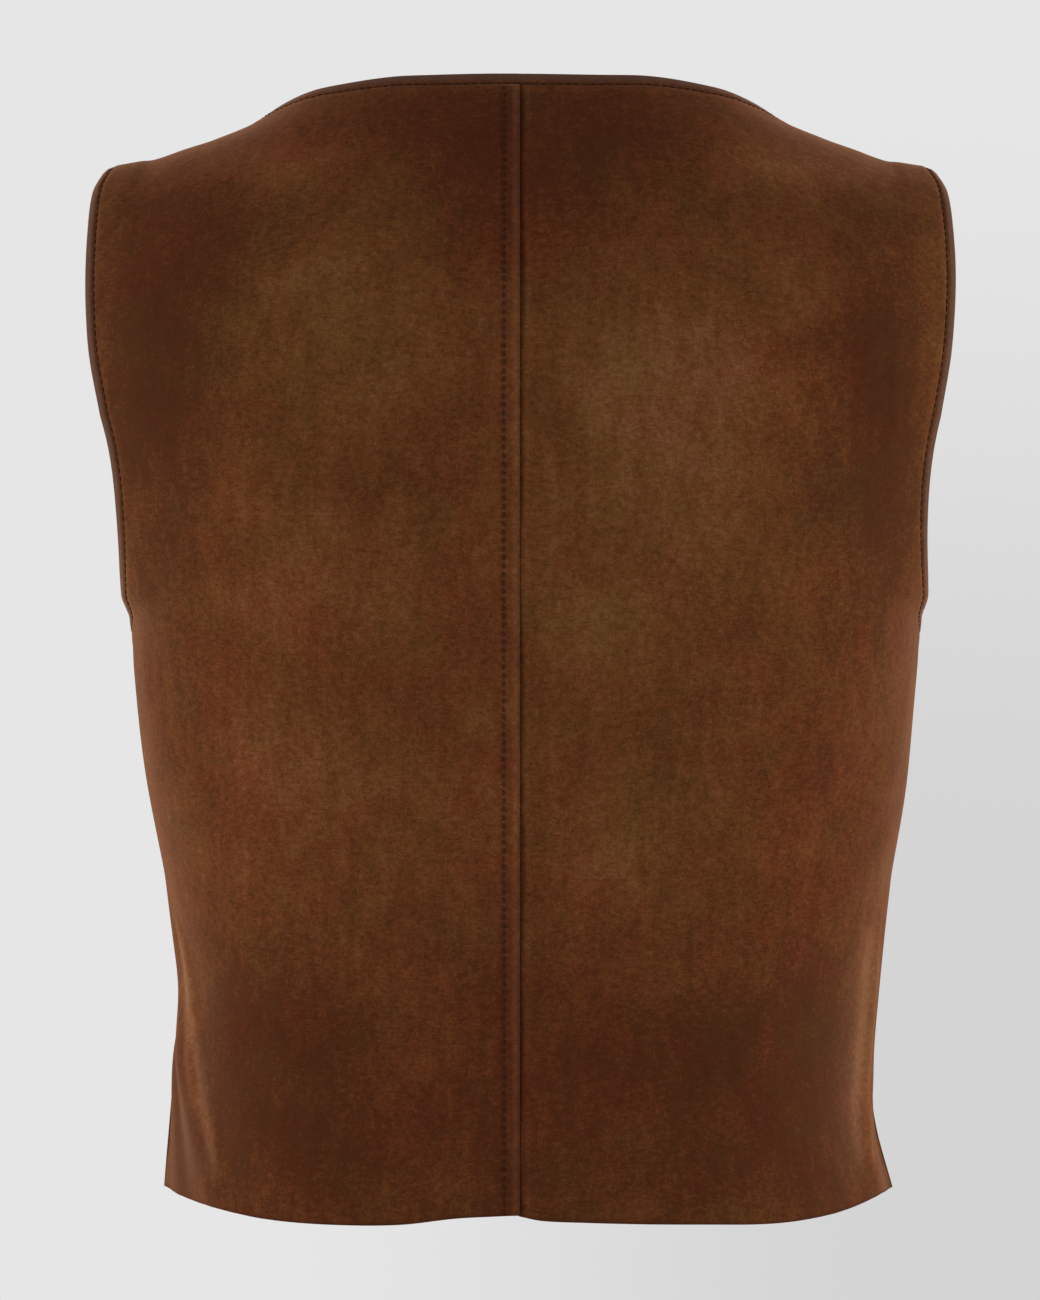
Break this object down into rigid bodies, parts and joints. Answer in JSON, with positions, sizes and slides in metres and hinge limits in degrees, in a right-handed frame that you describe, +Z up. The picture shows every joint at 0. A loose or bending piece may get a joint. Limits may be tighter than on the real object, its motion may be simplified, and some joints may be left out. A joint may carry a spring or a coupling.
{
  "type": "suede vest",
  "caption": "Sleeveless, collarless, cropped suede vest, filled out as if worn, with a raised centre-back seam and a buttoned front.",
  "frame": {"origin": "between the shoulders, on the middle plane, where the shoulders of a wearer or a hanger carry the vest", "axes": "+Z up, +Y towards the back, -Y towards the buttoned front, +X towards the wearer's left"},
  "size_m": [0.4131, 0.2496, 0.5364],
  "materials": {
    "suede": "napped suede, no shine",
    "button": "satin, dark brown horn look"
  },
  "bodies": {
    "root": {"back_left": "suede", "back_right": "suede", "front_left": "suede", "front_right": "suede", "button_1": "button", "button_2": "button", "button_3": "button", "button_4": "button", "button_5": "button"}
  },
  "joints": []
}
